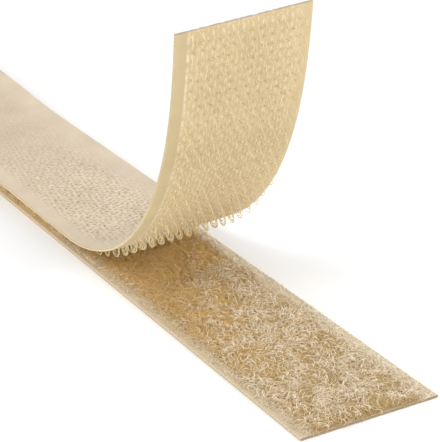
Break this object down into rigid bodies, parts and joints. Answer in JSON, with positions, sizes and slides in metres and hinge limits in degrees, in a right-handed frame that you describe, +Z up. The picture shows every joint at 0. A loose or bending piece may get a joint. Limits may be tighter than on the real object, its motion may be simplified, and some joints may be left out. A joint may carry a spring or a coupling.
{
  "type": "hook and loop tape",
  "caption": "Woven hook strip pressed on a woven loop strip and peeled up from it at one end, so that the two fasten and part again.",
  "frame": {"origin": "under the middle of the loop strip, on the face that it lies on", "axes": "+X along the tape towards the peeled end, +Y across it, +Z up"},
  "size_m": [0.17, 0.025, 0.0526],
  "materials": {
    "woven_ground": "plain woven nylon",
    "back_coat": "pebbled resin film",
    "pile_yarn": "napped nylon loops",
    "hook_monofilament": "clear nylon monofilament",
    "hooks_in_pile": "hooks caught in the pile"
  },
  "bodies": {
    "loop_strip": {"loop_back_coat": "back_coat", "loop_ground_web": "woven_ground", "loop_pile": "pile_yarn"},
    "hook_strip": {"hook_rows_pressed": "hooks_in_pile", "hook_web_pressed": "woven_ground", "hook_coat_pressed": "back_coat"},
    "flap_1": {"hook_rows_1": "hooks_in_pile", "hook_web_1": "woven_ground", "hook_coat_1": "back_coat"},
    "flap_2": {"hook_rows_2": "hook_monofilament", "hook_web_2": "woven_ground", "hook_coat_2": "back_coat"},
    "flap_3": {"hook_rows_3": "hook_monofilament", "hook_web_3": "woven_ground", "hook_coat_3": "back_coat"},
    "flap_4": {"hook_rows_4": "hook_monofilament", "hook_web_4": "woven_ground", "hook_coat_4": "back_coat"},
    "flap_5": {"hook_rows_5": "hook_monofilament", "hook_web_5": "woven_ground", "hook_coat_5": "back_coat"}
  },
  "joints": [
    {"name": "hook_lift", "type": "slide", "parent": "loop_strip", "child": "hook_strip", "axis": [0, 0, 1], "range_m": [0, 0.04]},
    {"name": "peel_1", "type": "hinge", "parent": "hook_strip", "child": "flap_1", "pos_m": [0.0136, 0, 0.00295], "axis": [0, -1, 0], "range_deg": [-4.55, 4.91], "stiffness_Nm_per_rad": 0.006},
    {"name": "peel_2", "type": "hinge", "parent": "flap_1", "child": "flap_2", "pos_m": [0.02055, 0, 0.00381], "axis": [0, -1, 0], "range_deg": [-18.5, 20], "stiffness_Nm_per_rad": 0.006},
    {"name": "peel_3", "type": "hinge", "parent": "flap_2", "child": "flap_3", "pos_m": [0.03155, 0, 0.00896], "axis": [0, -1, 0], "range_deg": [-22.05, 23.83], "stiffness_Nm_per_rad": 0.006},
    {"name": "peel_4", "type": "hinge", "parent": "flap_3", "child": "flap_4", "pos_m": [0.04061, 0, 0.01841], "axis": [0, -1, 0], "range_deg": [-20.05, 21.67], "stiffness_Nm_per_rad": 0.006},
    {"name": "peel_5", "type": "hinge", "parent": "flap_4", "child": "flap_5", "pos_m": [0.0468, 0, 0.03184], "axis": [0, -1, 0], "range_deg": [-16.05, 17.35], "stiffness_Nm_per_rad": 0.006}
  ],
  "couplings": [
    {"joint": "peel_1", "follows": "peel_2", "ratio": 0.24324},
    {"joint": "peel_3", "follows": "peel_2", "ratio": 1.1892},
    {"joint": "peel_4", "follows": "peel_2", "ratio": 1.0811},
    {"joint": "peel_5", "follows": "peel_2", "ratio": 0.86486}
  ]
}
